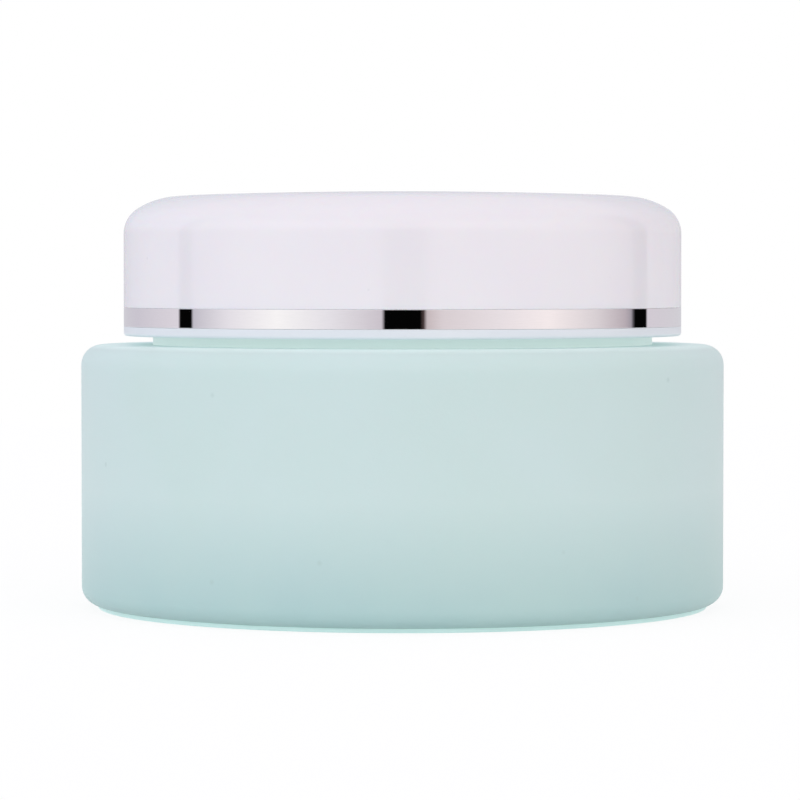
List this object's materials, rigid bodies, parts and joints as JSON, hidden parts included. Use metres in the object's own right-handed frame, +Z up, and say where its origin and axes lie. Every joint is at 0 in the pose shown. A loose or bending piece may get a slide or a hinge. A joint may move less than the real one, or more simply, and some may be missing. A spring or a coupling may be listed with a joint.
{
  "type": "cosmetic cream jar",
  "caption": "Low round double-wall cream jar with a frosted shell, a threaded inner cup, a sealing disc and a glossy screw lid with a bright ring.",
  "frame": {"origin": "middle of the face that the jar stands on", "axes": "+Z up along the jar's axis, out through the lid; +X through one start of the screw thread"},
  "size_m": [0.072, 0.072, 0.0464],
  "materials": {
    "frosted_mint_plastic": "frosted, translucent, satin",
    "mint_polypropylene": "moulded satin",
    "natural_polypropylene": "moulded, slightly translucent",
    "white_foam": "fine closed-cell foam",
    "white_polypropylene": "moulded, semi-gloss",
    "gloss_white_abs": "moulded high gloss, cool white",
    "silver_plating": "bright plated"
  },
  "bodies": {
    "jar": {"outer_shell": "frosted_mint_plastic", "base_plate": "frosted_mint_plastic", "inner_cup": "mint_polypropylene"},
    "seal": {"sealing_disc": "natural_polypropylene"},
    "liner": {"cap_liner": "white_foam"},
    "lid": {"cap_shell": "gloss_white_abs", "cap_ring": "silver_plating", "cap_insert": "white_polypropylene"}
  },
  "joints": [
    {"name": "lid_rise", "type": "slide", "parent": "jar", "child": "liner", "axis": [0, 0, 1], "range_m": [0, 0.016]},
    {"name": "lid_turn", "type": "hinge", "parent": "liner", "child": "lid", "pos_m": [0, 0, 0.0304], "axis": [0, 0, 1], "range_deg": [0, 720]},
    {"name": "disc_lift", "type": "slide", "parent": "jar", "child": "seal", "axis": [0, 0, 1], "range_m": [0, 0.0045]}
  ],
  "couplings": [
    {"joint": "lid_rise", "follows": "lid_turn", "m_per_rad": 0.0012732},
    {"joint": "disc_lift", "follows": "lid_turn", "m_per_rad": 0.000358}
  ]
}
